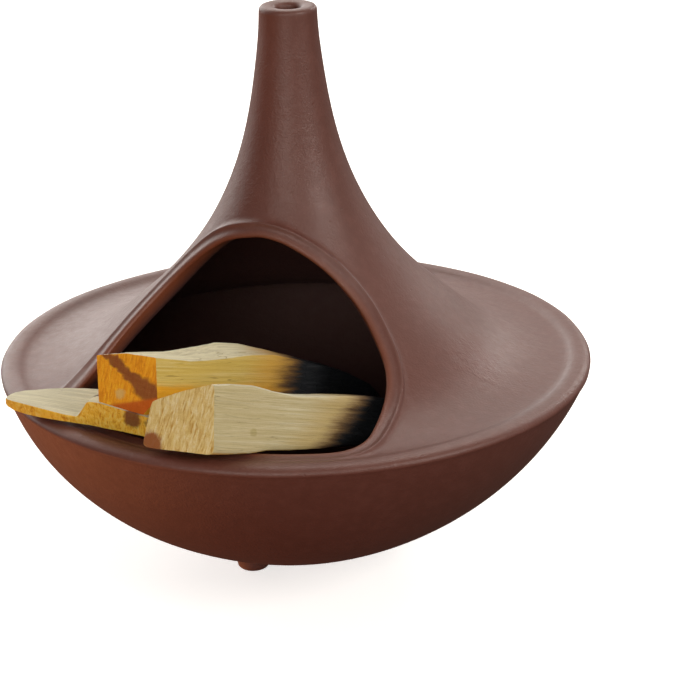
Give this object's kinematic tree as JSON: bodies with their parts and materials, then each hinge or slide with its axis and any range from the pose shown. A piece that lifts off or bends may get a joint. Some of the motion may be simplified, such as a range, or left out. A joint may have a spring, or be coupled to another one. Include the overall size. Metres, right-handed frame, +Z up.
{
  "type": "incense chiminea",
  "caption": "Round ceramic chiminea for burning fragrant wood: shallow bowl on nub feet, flared hood with an arched mouth and a narrow chimney, holding split sticks.",
  "frame": {"origin": "on the bowl's axis, in the plane the feet stand on", "axes": "+Z up along the bowl and chimney axis, -Y out of the mouth, +X to the right of a viewer who looks into the mouth"},
  "size_m": [0.15, 0.15, 0.1436],
  "materials": {
    "ceramic": "satin matt, chocolate brown",
    "wood": "raw split wood, burnt at the inner ends"
  },
  "bodies": {
    "chiminea": {"bowl": "ceramic", "hood": "ceramic", "chimney": "ceramic", "mouth_collar": "ceramic", "foot_front": "ceramic", "foot_rear_left": "ceramic", "foot_rear_right": "ceramic"},
    "front_stick": {"stick_front": "wood"},
    "back_stick": {"stick_back": "wood"},
    "left_stick": {"stick_left": "wood"}
  },
  "joints": [
    {"name": "front_stick_pull", "type": "slide", "parent": "chiminea", "child": "front_stick", "axis": [-0.4598, -0.8294, 0.3173], "range_m": [0, 0.095]},
    {"name": "back_stick_pull", "type": "slide", "parent": "chiminea", "child": "back_stick", "axis": [-0.466, -0.8407, 0.2756], "range_m": [0, 0.09]},
    {"name": "left_stick_pull", "type": "slide", "parent": "chiminea", "child": "left_stick", "axis": [-0.9754, -0.1851, 0.12], "range_m": [0, 0.066]}
  ]
}
